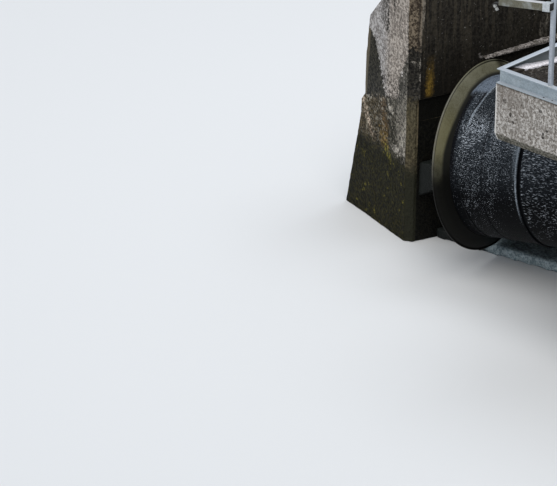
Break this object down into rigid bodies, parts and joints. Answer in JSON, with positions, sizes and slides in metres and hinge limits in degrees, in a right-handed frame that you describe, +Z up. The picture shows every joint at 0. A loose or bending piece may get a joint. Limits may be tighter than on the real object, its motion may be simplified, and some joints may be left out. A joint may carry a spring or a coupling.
{
  "type": "archimedes screw pump",
  "caption": "Enclosed rotating-tube screw pump, inclined in a concrete channel beside a pier, under a railed concrete deck, with bearings and an in-line drive.",
  "frame": {"origin": "centre of the bounding box's bottom, at ground level", "axes": "+X along the deck towards the drive, +Z up, -Y towards the side the picture was taken from"},
  "size_m": [9.459, 3.7596, 4.0509],
  "materials": {
    "pier_concrete": "rough weathered concrete with dark run marks",
    "wet_concrete": "dark wet concrete with moss",
    "mortar": "rough pale mortar",
    "silt": "brown washed-in silt and gravel",
    "wall_concrete": "stained board-marked concrete",
    "deck_concrete": "pale pitted concrete",
    "galvanised_steel": "dull galvanised steel",
    "railing_steel": "weathered galvanised steel",
    "collar_paint": "faded olive paint, wet",
    "tube_coating": "black coating under running water",
    "screw_steel": "dark coated steel",
    "bearing_paint": "grey-green paint",
    "drive_paint": "dull blue paint"
  },
  "bodies": {
    "structure": {"pier_nose": "pier_concrete", "pier_foot": "wet_concrete", "wall_ledge": "mortar", "rear_wall": "wall_concrete", "near_wall": "wall_concrete", "headwall": "wall_concrete", "trough_floor": "wall_concrete", "outlet_weir": "wall_concrete", "drive_platform": "wall_concrete", "channel_floor": "wet_concrete", "deck_beam": "deck_concrete", "deck_slab": "deck_concrete", "frame_front": "galvanised_steel", "frame_right": "galvanised_steel", "frame_rear": "galvanised_steel", "frame_left": "galvanised_steel", "deck_kerb": "mortar", "deck_silt": "silt", "post_1": "railing_steel", "post_2": "railing_steel", "post_3": "railing_steel", "top_rail": "railing_steel", "sloping_rail": "railing_steel", "rail_bracket": "railing_steel", "end_hook": "railing_steel", "lower_bearing": "bearing_paint", "lower_corbel": "wet_concrete", "drive_plinth": "wall_concrete", "upper_bearing": "bearing_paint", "bearing_stool": "bearing_paint", "gearbox": "drive_paint", "motor": "drive_paint"},
    "rotor": {"end_collar": "collar_paint", "tube_1": "tube_coating", "tube_2": "tube_coating", "tube_3": "tube_coating", "tube_4": "tube_coating", "tube_5": "tube_coating", "tube_6": "tube_coating", "core_shaft": "screw_steel", "flight_1": "screw_steel", "flight_2": "screw_steel", "flight_3": "screw_steel"}
  },
  "joints": [
    {"name": "screw_spin", "type": "hinge", "parent": "structure", "child": "rotor", "pos_m": [-2.86, -0.2842, 1.1], "axis": [0.9835, 0.1284, 0.1272], "continuous": true}
  ]
}
